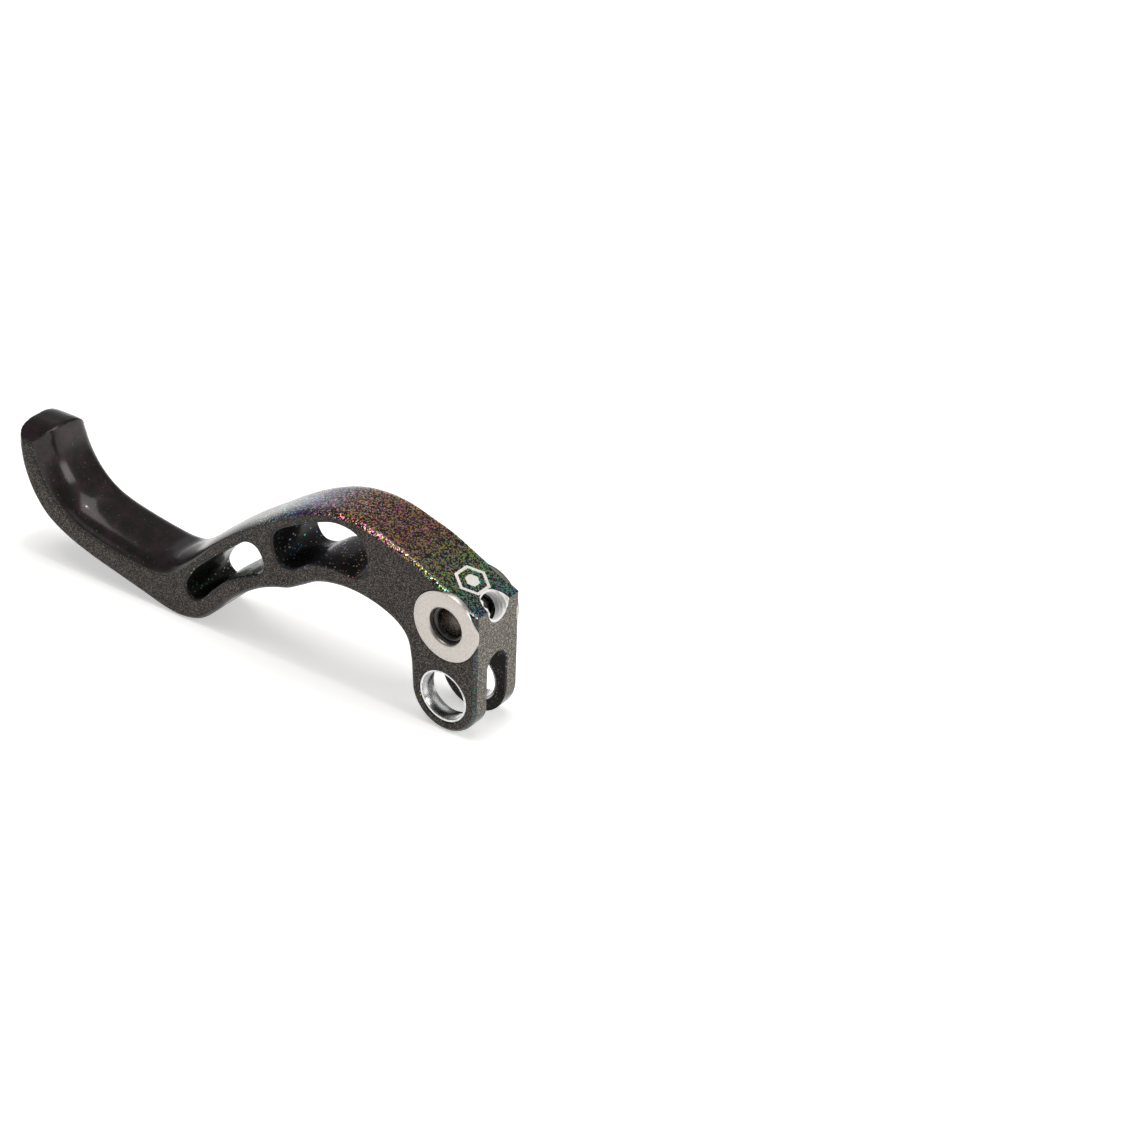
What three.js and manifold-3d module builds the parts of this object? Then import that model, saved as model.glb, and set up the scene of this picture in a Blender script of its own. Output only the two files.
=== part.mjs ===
// One-finger blade of a hydraulic bicycle disc brake, in millimetres.
// X runs from the finger tip towards the clevis, Y along the pivot axis and Z towards the finger side.
// The lever stands as it does on a bench: on the ends of its two ears and on the bend before the finger pad.
// While it is built, the pivot axis is the origin. The finished group is then moved onto the surface.

import * as THREE from 'three';
import { mergeVertices } from 'three/addons/utils/BufferGeometryUtils.js';
import Module from 'manifold-3d';

// Blade
const bladeThickness = 10.5;
const clevisLength = 6;
const armLength = 51;
const padLength = 27;
const tipHeight = 5;
const tipCornerAcross = 4.2;
const tipCornerDrop = 3.2;
const endFaceReach = 5.85;
const endFaceLean = 3.2;
const spineReach = 5.65;
const spineSlope = 25.5;
const edgeRounding = 0.8;

// Fork with two ears that take the push-rod barrel
const earDrop = 12.8;
const earShift = 1;
const earRadius = 6.15;
const earBore = 8;
const earLinerWall = 0.4;
const earLinerRecess = 0.1;
const slotWidth = 4.4;
const slotCrown = 5.2;

// Pivot
const pivotMouth = 6;
const flangeDiameter = 11.8;
const flangeThickness = 1;
const flangeProud = 0.15;
const bushDiameter = 8.6;
const mouthChamfer = 0.3;
const sleeveOuter = 6;
const sleeveBore = 5;
const sleeveHalfLength = 3.3;
const sleeveChamfer = 0.15;
const sealSection = 1;
const sealBore = 4.6;
const middleBore = 6.5;

// Threaded hole for the pivot's lock screw, through the corner of spine and end face
const lockHoleAngle = 30;
const lockThreadMinor = 4.2;
const insertDiameter = 5;
const insertStart = 3.45;
const insertEnd = 5;
const bushInnerEnd = insertDiameter / 2 + 0.1;

// Clearances
const pressGap = 0.03;
const runningGap = 0.03;
const endGap = 0.05;

// Smoothness
const roundSegments = 36;
const edgeSteps = 3;
const samplesPerStation = 3;
const windowSteps = 4;
const sealSegments = 10;
const weldDistance = 1e-5;
const cutAllowance = 2;

const halfThickness = bladeThickness / 2;
const earX = -earShift;
const earZ = -earDrop;
const restLevel = -(earDrop + earRadius);

const wasm = await Module();
wasm.setup();

const paint = { color: 0x2b2a2a, roughness: 0.35, metalness: 0.55 };
const bareMetal = { color: 0xc9c8c4, roughness: 0.3, metalness: 1 };
const darkSteel = { color: 0x2e2925, roughness: 0.4, metalness: 0.8 };
const blackRubber = { color: 0x141312, roughness: 0.6, metalness: 0 };

function solidOf(geometry) {
  const bare = geometry.clone();
  bare.deleteAttribute('normal');
  bare.deleteAttribute('uv');
  const merged = mergeVertices(bare, weldDistance);
  const vertProperties = new Float32Array(merged.attributes.position.array);
  const triVerts = new Uint32Array(merged.index.array);
  return new wasm.Manifold(new wasm.Mesh({ numProp: 3, vertProperties, triVerts }));
}

function geometryOf(solid) {
  const mesh = solid.getMesh();
  const geometry = new THREE.BufferGeometry();
  geometry.setAttribute('position', new THREE.BufferAttribute(mesh.vertProperties, 3));
  geometry.setIndex(new THREE.BufferAttribute(mesh.triVerts, 1));
  geometry.computeVertexNormals();
  return geometry;
}

function namedMesh(name, geometry, finish) {
  const mesh = new THREE.Mesh(geometry, new THREE.MeshStandardMaterial(finish));
  mesh.name = name;
  return mesh;
}

// Places along the blade: shares of the arm and of the finger pad, counted from the clevis.
const alongArm = (share) => -clevisLength - armLength * share;
const alongPad = (share) => -clevisLength - armLength - padLength * share;

const radians = THREE.MathUtils.degToRad;
const endFaceNormal = new THREE.Vector2(Math.cos(radians(endFaceLean)), -Math.sin(radians(endFaceLean)));
const spineNormal = new THREE.Vector2(Math.sin(radians(spineSlope)), Math.cos(radians(spineSlope)));

function crossingOf(normalA, reachA, normalB, reachB) {
  const scale = normalA.x * normalB.y - normalA.y * normalB.x;
  const x = (reachA * normalB.y - reachB * normalA.y) / scale;
  const z = (normalA.x * reachB - normalB.x * reachA) / scale;
  return new THREE.Vector2(x, z);
}

const spineHeightAt = (x) => (spineReach - spineNormal.x * x) / spineNormal.y;
const spineCorner = crossingOf(endFaceNormal, endFaceReach, spineNormal, spineReach);

// A station of the outline: its place, and how far each side face is rounded over into the edge there.
// `across` runs along the pivot axis and `deep` runs in the plane of the side face.
function station(x, z, nearAcross, nearDeep, farAcross, farDeep) {
  return { x, z, nearAcross, nearDeep, farAcross, farDeep };
}

function evenStation(x, z, rounding = edgeRounding) {
  return station(x, z, rounding, rounding, rounding, rounding);
}

// Edge on the finger side, from the spine corner to just past the tip.
const fingerEdge = [
  evenStation(-clevisLength / 3, spineHeightAt(-clevisLength / 3)),
  evenStation(-clevisLength, spineHeightAt(-clevisLength)),
  station(alongArm(0.08), 10.5, 1.0, 0.8, 1.0, 0.8),
  station(alongArm(0.16), 11.7, 1.3, 0.8, 1.3, 0.8),
  station(alongArm(0.24), 12.2, 1.7, 0.9, 1.7, 0.9),
  station(alongArm(0.33), 11.8, 2.1, 0.9, 2.1, 0.9),
  station(alongArm(0.42), 10.4, 2.4, 1.0, 2.4, 1.0),
  station(alongArm(0.52), 7.9, 2.7, 1.0, 2.7, 1.0),
  station(alongArm(0.62), 4.7, 2.9, 1.0, 2.9, 1.0),
  station(alongArm(0.72), 1.4, 3.0, 1.1, 3.0, 1.1),
  station(alongArm(0.82), -2.4, 3.2, 1.2, 2.8, 1.2),
  station(alongArm(0.91), -6.2, 3.5, 1.7, 2.4, 1.3),
  station(alongArm(1), -9.3, 3.9, 2.5, 2.0, 1.3),
  station(alongPad(0.122), -10.05, 4.1, 3.0, 1.7, 1.3),
  station(alongPad(0.248), -9.9, 4.2, 3.1, 1.5, 1.3),
  station(alongPad(0.447), -9.1, 4.2, 3.2, 1.5, 1.3),
  station(alongPad(0.625), -8.1, 4.2, 3.2, 1.5, 1.3),
  station(alongPad(0.752), -6.85, 4.2, 3.3, 1.5, 1.3),
  station(alongPad(0.852), -4.7, 4.1, 3.4, 1.6, 1.4),
  station(alongPad(0.925), -1.85, 4.0, 3.5, 1.7, 1.5),
  station(alongPad(0.967), 1.2, 3.8, 3.5, 1.8, 1.6),
  station(alongPad(0.98), 4.2, 3.6, 3.4, 1.8, 1.7),
  station(alongPad(0.985), 7.5, 3.4, 3.3, 1.8, 1.7),
];

// Edge on the handlebar side, from the tip back to the notch above the ears.
const barEdge = [
  evenStation(alongPad(1.2), 7.5, 2),
  evenStation(alongPad(1.212), 4, 2),
  evenStation(alongPad(1.212), 0.75, 1.8),
  evenStation(alongPad(1.185), -2.9, 1.4),
  evenStation(alongPad(1.12), -6.9, 1.1),
  evenStation(alongPad(1.012), -10.3),
  evenStation(alongPad(0.858), -12.75),
  evenStation(alongPad(0.665), -14.6),
  evenStation(alongPad(0.445), -16.1),
  evenStation(alongPad(0.225), -17.55),
  evenStation(alongPad(0.073), -18.6),
  evenStation(alongArm(0.965), restLevel),
  evenStation(alongArm(0.885), -18),
  evenStation(alongArm(0.815), -15.3),
  evenStation(alongArm(0.755), -12.2),
  evenStation(alongArm(0.69), -9.6),
  evenStation(alongArm(0.624), -7.5),
  evenStation(alongArm(0.56), -6.1),
  evenStation(alongArm(0.5), -5.1),
  evenStation(alongArm(0.443), -3.5),
  evenStation(alongArm(0.38), -1.75),
  evenStation(alongArm(0.305), -0.8),
  evenStation(alongArm(0.225), -0.65),
  evenStation(alongArm(0.147), -1.35),
  evenStation(alongArm(0.078), -2.8),
  evenStation(earX - earRadius - 0.75, -4.9),
  evenStation(earX - earRadius - 0.1, -8),
  evenStation(earX - earRadius, earZ + 2),
];

// Windows that lighten the arm, as closed curves.
const rearWindow = [
  [alongArm(0.175), 6.8],
  [alongArm(0.182), 3.8],
  [alongArm(0.22), 2.25],
  [alongArm(0.305), 2.3],
  [alongArm(0.392), 1.55],
  [alongArm(0.47), -0.75],
  [alongArm(0.518), -0.8],
  [alongArm(0.545), 1.6],
  [alongArm(0.535), 4.3],
  [alongArm(0.46), 6.8],
  [alongArm(0.365), 9.1],
  [alongArm(0.285), 10.3],
  [alongArm(0.208), 9.6],
];
const frontWindow = [
  [alongArm(0.593), -2.3],
  [alongArm(0.606), -4.1],
  [alongArm(0.676), -6.0],
  [alongArm(0.751), -8.2],
  [alongArm(0.816), -11.1],
  [alongArm(0.87), -13.8],
  [alongArm(0.906), -14.2],
  [alongArm(0.929), -12.6],
  [alongArm(0.894), -9.3],
  [alongArm(0.812), -5.4],
  [alongArm(0.73), -2.1],
  [alongArm(0.66), 0.4],
  [alongArm(0.618), 0.2],
];

function blendStations(from, to, share) {
  const blended = {};
  for (const key of ['nearAcross', 'nearDeep', 'farAcross', 'farDeep']) {
    blended[key] = THREE.MathUtils.lerp(from[key], to[key], share);
  }
  return blended;
}

function sampledEdge(stations) {
  const spline = new THREE.SplineCurve(stations.map((item) => new THREE.Vector2(item.x, item.z)));
  const spans = stations.length - 1;
  const points = [];
  for (let index = 0; index <= spans * samplesPerStation; index += 1) {
    const place = index / samplesPerStation;
    const from = Math.min(Math.floor(place), spans - 1);
    const point = spline.getPoint(place / spans);
    const rounding = blendStations(stations[from], stations[from + 1], place - from);
    points.push({ x: point.x, z: point.y, ...rounding });
  }
  return points;
}

function earArc() {
  const points = [];
  const steps = roundSegments / 2;
  for (let index = 0; index <= steps; index += 1) {
    const angle = Math.PI + (Math.PI - radians(endFaceLean)) * (index / steps);
    points.push(evenStation(earX + earRadius * Math.cos(angle), earZ + earRadius * Math.sin(angle)));
  }
  return points;
}

// The whole outline, anticlockwise as seen from the near side.
function bladeOutline() {
  const corner = { ...evenStation(spineCorner.x, spineCorner.y), corner: true };
  const finger = sampledEdge(fingerEdge);
  const bar = sampledEdge(barEdge);
  finger[finger.length - 1].squareAfter = true;
  bar[0].squareBefore = true;
  return [corner, ...finger, ...bar, ...earArc()];
}

function inwardNormal(from, to) {
  return new THREE.Vector2(from.z - to.z, to.x - from.x).normalize();
}

// How far and which way a point of the outline moves where the side face begins.
function insetOf(before, here, after, deep) {
  const normalBefore = inwardNormal(before, here);
  const normalAfter = inwardNormal(here, after);
  if (here.corner || here.squareBefore || here.squareAfter) {
    const deepBefore = here.squareBefore ? 0 : deep;
    const deepAfter = here.squareAfter ? 0 : deep;
    return crossingOf(normalBefore, deepBefore, normalAfter, deepAfter);
  }
  return normalBefore.add(normalAfter).normalize().multiplyScalar(deep);
}

// The solid blade: both side faces, joined round the outline by edges of changing roundness.
function bladeBlank() {
  const outline = bladeOutline();
  const rows = 2 * (edgeSteps + 1);
  const positions = [];
  outline.forEach((here, index) => {
    const before = outline[(index + outline.length - 1) % outline.length];
    const after = outline[(index + 1) % outline.length];
    const nearInset = insetOf(before, here, after, here.nearDeep);
    const farInset = insetOf(before, here, after, here.farDeep);
    for (let row = 0; row < rows; row += 1) {
      const near = row <= edgeSteps;
      const step = near ? row : rows - 1 - row;
      const angle = (Math.PI / 2) * (step / edgeSteps);
      const inset = near ? nearInset : farInset;
      const across = near ? here.nearAcross : here.farAcross;
      const depth = halfThickness - across * (1 - Math.cos(angle));
      const share = 1 - Math.sin(angle);
      positions.push(here.x + inset.x * share, near ? -depth : depth, here.z + inset.y * share);
    }
  });
  const indices = [];
  for (let column = 0; column < outline.length; column += 1) {
    const next = (column + 1) % outline.length;
    for (let row = 0; row < rows - 1; row += 1) {
      const a = column * rows + row;
      const b = next * rows + row;
      indices.push(a, a + 1, b + 1);
      indices.push(a, b + 1, b);
    }
  }
  for (const [row, flipped] of [[0, false], [rows - 1, true]]) {
    const contour = outline.map((_, column) => {
      const at = 3 * (column * rows + row);
      return new THREE.Vector2(positions[at], positions[at + 2]);
    });
    for (const [a, b, c] of THREE.ShapeUtils.triangulateShape(contour, [])) {
      const face = [a, b, c].map((column) => column * rows + row);
      indices.push(...(flipped ? face.reverse() : face));
    }
  }
  const geometry = new THREE.BufferGeometry();
  geometry.setAttribute('position', new THREE.Float32BufferAttribute(positions, 3));
  geometry.setIndex(indices);
  return geometry;
}

// A shape drawn in X and Z, pushed through the blade's whole thickness.
function throughCut(shape) {
  const depth = bladeThickness + 2 * cutAllowance;
  const geometry = new THREE.ExtrudeGeometry(shape, { depth, bevelEnabled: false });
  geometry.rotateX(Math.PI / 2);
  geometry.translate(0, depth / 2, 0);
  return solidOf(geometry);
}

function windowCut(points) {
  const curve = new THREE.CatmullRomCurve3(points.map(([x, z]) => new THREE.Vector3(x, z, 0)), true);
  const rim = curve.getPoints(points.length * windowSteps).slice(0, -1);
  return throughCut(new THREE.Shape(rim.map((point) => new THREE.Vector2(point.x, point.y))));
}

// A shape drawn in Y and Z, pushed along X for a length that has its middle at the given place.
function cutAlongX(shape, middle, length) {
  const curveSegments = roundSegments / 4;
  const geometry = new THREE.ExtrudeGeometry(shape, { depth: length, bevelEnabled: false, curveSegments });
  const axes = new THREE.Matrix4().makeBasis(
    new THREE.Vector3(0, 1, 0),
    new THREE.Vector3(0, 0, 1),
    new THREE.Vector3(1, 0, 0),
  );
  geometry.applyMatrix4(axes);
  geometry.translate(middle - length / 2, 0, 0);
  return solidOf(geometry);
}

// The slot between the ears, with a round crown, open at the ear ends and along X.
function slotCut() {
  const half = slotWidth / 2;
  const crownCentre = -slotCrown - half;
  const floor = restLevel - cutAllowance;
  const shape = new THREE.Shape();
  shape.moveTo(-half, floor);
  shape.lineTo(half, floor);
  shape.lineTo(half, crownCentre);
  shape.absarc(0, crownCentre, half, 0, Math.PI, false);
  shape.closePath();
  return cutAlongX(shape, earX, 4 * earRadius);
}

// Everything above the finger tip: a flat end whose two corners are rounded down into the side faces.
function tipCut() {
  const low = tipHeight - tipCornerDrop;
  const high = tipHeight + padLength;
  const outside = halfThickness + cutAllowance;
  const centre = halfThickness - tipCornerAcross;
  const shape = new THREE.Shape();
  shape.moveTo(-outside, high);
  shape.lineTo(-outside, low);
  shape.lineTo(-halfThickness, low);
  shape.absellipse(-centre, low, tipCornerAcross, tipCornerDrop, Math.PI, Math.PI / 2, true);
  shape.lineTo(centre, tipHeight);
  shape.absellipse(centre, low, tipCornerAcross, tipCornerDrop, Math.PI / 2, 0, true);
  shape.lineTo(outside, low);
  shape.lineTo(outside, high);
  shape.closePath();
  return cutAlongX(shape, alongPad(1), padLength);
}

// A turned solid round Y from [radius, place along Y] pairs.
function turned(profile) {
  return new THREE.LatheGeometry(profile.map(([radius, y]) => new THREE.Vector2(radius, y)), roundSegments);
}

function turnedRing(profile) {
  return turned([...profile, profile[0]]);
}

function borePlug(radius, from, to) {
  return turned([[0, from], [radius, from], [radius, to], [0, to]]);
}

const flangeSeat = halfThickness + flangeProud - flangeThickness;

// Stepped pocket for the two bushes, with the running bore of the sleeve between them.
function pivotCut() {
  const outside = halfThickness + cutAllowance;
  const flangeRadius = flangeDiameter / 2 + pressGap;
  const bushRadius = bushDiameter / 2 + pressGap;
  const half = [
    [middleBore / 2, bushInnerEnd],
    [bushRadius, bushInnerEnd],
    [bushRadius, flangeSeat],
    [flangeRadius, flangeSeat],
    [flangeRadius, outside],
    [0, outside],
  ];
  const mirrored = half.map(([radius, y]) => [radius, -y]).reverse();
  return solidOf(turned([...mirrored, ...half]));
}

function earCut() {
  const plug = borePlug(earBore / 2 + earLinerWall + pressGap, -bladeThickness, bladeThickness);
  plug.translate(earX, 0, earZ);
  return solidOf(plug);
}

const lockAxis = new THREE.Vector3(Math.cos(radians(lockHoleAngle)), 0, Math.sin(radians(lockHoleAngle)));
const lockTurn = new THREE.Quaternion().setFromUnitVectors(new THREE.Vector3(0, 1, 0), lockAxis);

function lockHoleCut() {
  const outside = spineCorner.length() + cutAllowance;
  const drilled = borePlug(lockThreadMinor / 2, sleeveOuter / 4, insertStart + endGap);
  const tapped = borePlug(insertDiameter / 2 + pressGap, insertStart - endGap, outside);
  drilled.applyQuaternion(lockTurn);
  tapped.applyQuaternion(lockTurn);
  return solidOf(drilled).add(solidOf(tapped));
}

function leverBlade() {
  let solid = solidOf(bladeBlank());
  const cuts = [
    tipCut(),
    windowCut(rearWindow),
    windowCut(frontWindow),
    slotCut(),
    pivotCut(),
    earCut(),
    lockHoleCut(),
  ];
  for (const cut of cuts) solid = solid.subtract(cut);
  return namedMesh('lever_blade', geometryOf(solid), paint);
}

// A pressed-in flanged bush with a groove for its dirt seal. The far one is the same part turned round.
function pivotBush(name, facing) {
  const face = halfThickness + flangeProud;
  const underside = flangeSeat + endGap;
  const flangeRadius = flangeDiameter / 2;
  const mouthRadius = pivotMouth / 2;
  const runRadius = sleeveOuter / 2 + runningGap;
  const grooveRadius = sealBore / 2 + sealSection + endGap;
  const grooveInner = sleeveHalfLength + endGap;
  const grooveOuter = grooveInner + sealSection + 2 * endGap;
  const geometry = turnedRing([
    [mouthRadius + mouthChamfer, face],
    [mouthRadius, face - mouthChamfer],
    [mouthRadius, grooveOuter],
    [grooveRadius, grooveOuter],
    [grooveRadius, grooveInner],
    [runRadius, grooveInner],
    [runRadius, bushInnerEnd + endGap],
    [bushDiameter / 2, bushInnerEnd + endGap],
    [bushDiameter / 2, underside],
    [flangeRadius, underside],
    [flangeRadius, face - flangeProud / 2],
    [flangeRadius - flangeProud / 2, face],
  ]);
  const bush = namedMesh(name, geometry, bareMetal);
  if (facing < 0) bush.rotation.x = Math.PI;
  return bush;
}

// The rubber ring in a bush's groove, just inside the mouth.
function pivotSeal(name, facing) {
  const sectionRadius = sealSection / 2;
  const ringRadius = sealBore / 2 + sectionRadius;
  const profile = [];
  for (let index = 0; index < sealSegments; index += 1) {
    const angle = (2 * Math.PI * index) / sealSegments;
    profile.push([ringRadius + sectionRadius * Math.cos(angle), sectionRadius * Math.sin(angle)]);
  }
  const seal = namedMesh(name, turnedRing(profile), blackRubber);
  seal.position.y = facing * (sleeveHalfLength + 2 * endGap + sectionRadius);
  return seal;
}

// The tube that the pivot pin goes through. It turns in the two bushes.
function pivotSleeve() {
  const outer = sleeveOuter / 2;
  const inner = sleeveBore / 2;
  const end = sleeveHalfLength;
  const geometry = turnedRing([
    [inner + sleeveChamfer, -end],
    [outer - sleeveChamfer, -end],
    [outer, -end + sleeveChamfer],
    [outer, end - sleeveChamfer],
    [outer - sleeveChamfer, end],
    [inner + sleeveChamfer, end],
    [inner, end - sleeveChamfer],
    [inner, -end + sleeveChamfer],
  ]);
  return namedMesh('pivot_sleeve', geometry, darkSteel);
}

function earLiner(name, facing) {
  const inner = earBore / 2;
  const outer = inner + earLinerWall;
  const from = slotWidth / 2 + earLinerRecess;
  const to = halfThickness - earLinerRecess;
  const liner = namedMesh(name, turnedRing([[inner, from], [outer, from], [outer, to], [inner, to]]), bareMetal);
  liner.position.set(earX, 0, earZ);
  if (facing < 0) liner.rotation.x = Math.PI;
  return liner;
}

function threadInsert() {
  const inner = lockThreadMinor / 2;
  const outer = insertDiameter / 2;
  const geometry = turnedRing([[inner, insertStart], [outer, insertStart], [outer, insertEnd], [inner, insertEnd]]);
  const insert = namedMesh('thread_insert', geometry, bareMetal);
  insert.quaternion.copy(lockTurn);
  return insert;
}

const lever = new THREE.Group();
lever.add(leverBlade());
lever.add(pivotBush('pivot_bush_near', -1));
lever.add(pivotBush('pivot_bush_far', 1));
lever.add(pivotSeal('pivot_seal_near', -1));
lever.add(pivotSeal('pivot_seal_far', 1));
lever.add(pivotSleeve());
lever.add(earLiner('ear_liner_near', -1));
lever.add(earLiner('ear_liner_far', 1));
lever.add(threadInsert());

// Stand the lever on the surface, with the middle of its box over the origin.
const box = new THREE.Box3().setFromObject(lever, true);
lever.position.set(-(box.min.x + box.max.x) / 2, 0, -box.min.z);

export default lever;
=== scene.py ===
import math
import bpy
import numpy as np
from mathutils import Matrix, Vector


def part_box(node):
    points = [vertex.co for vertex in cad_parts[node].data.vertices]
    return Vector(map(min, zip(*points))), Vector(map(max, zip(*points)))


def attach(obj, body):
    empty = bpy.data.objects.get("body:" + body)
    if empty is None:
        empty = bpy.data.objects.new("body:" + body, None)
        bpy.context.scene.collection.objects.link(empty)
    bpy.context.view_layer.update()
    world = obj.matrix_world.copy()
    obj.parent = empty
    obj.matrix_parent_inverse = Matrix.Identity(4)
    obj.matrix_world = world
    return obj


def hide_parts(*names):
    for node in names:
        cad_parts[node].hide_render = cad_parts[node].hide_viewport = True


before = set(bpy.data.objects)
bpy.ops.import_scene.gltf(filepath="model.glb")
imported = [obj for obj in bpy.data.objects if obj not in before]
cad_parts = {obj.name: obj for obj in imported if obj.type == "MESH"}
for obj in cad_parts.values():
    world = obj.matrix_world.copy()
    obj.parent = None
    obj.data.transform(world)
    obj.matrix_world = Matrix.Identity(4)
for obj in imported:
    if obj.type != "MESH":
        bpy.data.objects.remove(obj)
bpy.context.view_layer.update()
mm = 0.001


def middleOf(node):
    low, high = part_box(node)
    return (low + high) / 2


pivot = middleOf("pivot_sleeve")            # every place below is counted from the pivot axis
ear = middleOf("ear_liner_near")
faceOut = -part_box("pivot_bush_near")[0].y / mm  # where the flanges end
print("frame loaded, pivot at", [round(value, 5) for value in pivot])

cameraSetup = {
    "place": (0.2801227, -0.2892627, 0.2545979),
    "aim": (0.0475861, 0.0168231, 0.0206339),
    "roll": -0.52,      # degrees
    "lens": 94.67,
    "sensor": 36,
    "nearest": 0.01,
    "farthest": 50,
}
lightSetup = {
    "overhead": {"place": (0.02, 0.03, 0.55), "aim": (0, 0, 0.01), "size": (0.36, 0.5),
                 "power": 1.75, "color": (1, 0.985, 0.96)},
    "backLeft": {"place": (-0.62, 0.62, 0.24), "aim": (0, 0, 0.02), "size": (0.8, 0.42),
                 "power": 0.22, "color": (1, 1, 1)},
    "endSide": {"place": (0.7, 0.12, 0.36), "aim": (0.03, 0, 0.01), "size": (0.4, 0.4),
                "power": 2.4, "color": (1, 0.98, 0.95)},
    "front": {"place": (-0.25, -0.75, 0.42), "aim": (0, 0, 0.01), "size": (0.45, 0.3),
              "power": 0.3, "color": (1, 0.99, 0.97)},
    "spot": {"place": (0.045, -0.02, 0.62), "aim": (-0.02, 0, 0.01), "size": (0.03, 0.03),
             "power": 0.3, "color": (1, 1, 1)},
}
stageSetup = {
    "floorSize": 6,
    "floorColor": (0.93, 0.93, 0.925, 1),
    "floorGlow": 0.5,
    "horizon": 0.6,     # strength of the surroundings low down
    "zenith": 0.16,     # and overhead
    "fade": (-0.05, 0.26),
}


def makeCamera():
    data = bpy.data.cameras.new("camera")
    data.lens = cameraSetup["lens"]
    data.sensor_width = cameraSetup["sensor"]
    data.clip_start = cameraSetup["nearest"]
    data.clip_end = cameraSetup["farthest"]
    camera = bpy.data.objects.new("camera", data)
    bpy.context.scene.collection.objects.link(camera)
    place = Vector(cameraSetup["place"])
    toward = Vector(cameraSetup["aim"]) - place
    turn = toward.to_track_quat("-Z", "Y").to_matrix().to_4x4()
    roll = Matrix.Rotation(math.radians(cameraSetup["roll"]), 4, "Z")
    camera.matrix_world = Matrix.Translation(place) @ turn @ roll
    bpy.context.scene.camera = camera


def makeLights():
    for name, setup in lightSetup.items():
        data = bpy.data.lights.new(name, "AREA")
        data.shape = "ELLIPSE" if name == "spot" else "RECTANGLE"
        data.size, data.size_y = setup["size"]
        data.energy = setup["power"]
        data.color = setup["color"]
        light = bpy.data.objects.new(name, data)
        bpy.context.scene.collection.objects.link(light)
        light.location = setup["place"]
        toward = Vector(setup["aim"]) - Vector(setup["place"])
        light.rotation_euler = toward.to_track_quat("-Z", "Y").to_euler()
    world = bpy.data.worlds.new("studio")
    bpy.context.scene.world = world
    world.use_nodes = True
    background = world.node_tree.nodes["Background"]
    background.inputs["Color"].default_value = (1, 1, 1, 1)
    tree = world.node_tree
    direction = addNode(tree, "ShaderNodeTexCoord").outputs["Generated"]
    height = partsOf(tree, direction)[2]
    low, high = stageSetup["fade"]
    strength = ranged(tree, height, low, high, stageSetup["horizon"], stageSetup["zenith"])
    tree.links.new(strength, background.inputs["Strength"])
    bpy.context.scene.view_settings.view_transform = "Standard"


# Small helpers for materials

def newMaterial(name):
    material = bpy.data.materials.new(name)
    material.use_nodes = True
    tree = material.node_tree
    shader = next(node for node in tree.nodes if node.type == "BSDF_PRINCIPLED")
    return material, tree, shader


def addNode(tree, kind, settings=None, inputs=None):
    node = tree.nodes.new(kind)
    for key, value in (settings or {}).items():
        setattr(node, key, value)
    for key, value in (inputs or {}).items():
        if hasattr(value, "is_output"):
            tree.links.new(value, node.inputs[key])
        else:
            node.inputs[key].default_value = value
    return node


def mathOf(tree, operation, a, b=0.0):
    return addNode(tree, "ShaderNodeMath", {"operation": operation}, {0: a, 1: b}).outputs[0]


def vectorOf(tree, operation, a, b=None):
    inputs = {0: a} if b is None else {0: a, 1: b}
    return addNode(tree, "ShaderNodeVectorMath", {"operation": operation}, inputs).outputs[0]


def lengthOf(tree, vector):
    return addNode(tree, "ShaderNodeVectorMath", {"operation": "LENGTH"}, {0: vector}).outputs["Value"]


def partsOf(tree, vector):
    return addNode(tree, "ShaderNodeSeparateXYZ", inputs={0: vector}).outputs


def objectPlace(tree):
    return addNode(tree, "ShaderNodeTexCoord").outputs["Object"]


def noiseOf(tree, place, scale, detail, roughness=0.5):
    inputs = {"Vector": place, "Scale": scale, "Detail": detail, "Roughness": roughness}
    return addNode(tree, "ShaderNodeTexNoise", {"noise_dimensions": "3D"}, inputs).outputs[0]


def cellsOf(tree, place, scale):
    inputs = {"Vector": place, "Scale": scale, "Randomness": 1.0}
    return addNode(tree, "ShaderNodeTexVoronoi", {"feature": "F1"}, inputs).outputs["Color"]


def colorParts(tree, color):
    return addNode(tree, "ShaderNodeSeparateColor", inputs={0: color}).outputs


def hueOf(tree, hue, saturation, value):
    return addNode(tree, "ShaderNodeCombineColor", {"mode": "HSV"}, {0: hue, 1: saturation, 2: value}).outputs[0]


def addBump(tree, shader, strength, distance, height):
    bump = addNode(tree, "ShaderNodeBump", inputs={"Strength": strength, "Distance": distance, "Height": height})
    tree.links.new(bump.outputs[0], shader.inputs["Normal"])


def ranged(tree, value, low, high, toLow=0.0, toHigh=1.0):
    node = addNode(tree, "ShaderNodeMapRange", {"interpolation_type": "SMOOTHSTEP"},
                   {"Value": value, "From Min": low, "From Max": high, "To Min": toLow, "To Max": toHigh})
    return node.outputs["Result"]


def mixColor(tree, share, a, b):
    return addNode(tree, "ShaderNodeMix", {"data_type": "RGBA"}, {0: share, 6: a, 7: b}).outputs[2]


def mixValue(tree, share, a, b):
    return addNode(tree, "ShaderNodeMix", {"data_type": "FLOAT"}, {0: share, 2: a, 3: b}).outputs[0]


def setSockets(shader, values):
    for key, value in values.items():
        shader.inputs[key].default_value = value


def makeFloor():
    bpy.ops.object.select_all(action="DESELECT")
    bpy.ops.mesh.primitive_plane_add(size=stageSetup["floorSize"], location=(0, 0, 0))
    floor = bpy.context.object
    floor.name = "floor"
    material, tree, shader = newMaterial("floorPaper")
    setSockets(shader, {"Base Color": stageSetup["floorColor"], "Roughness": 0.9, "Specular IOR Level": 0.1,
                        "Emission Color": stageSetup["floorColor"], "Emission Strength": stageSetup["floorGlow"]})
    floor.data.materials.append(material)


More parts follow.
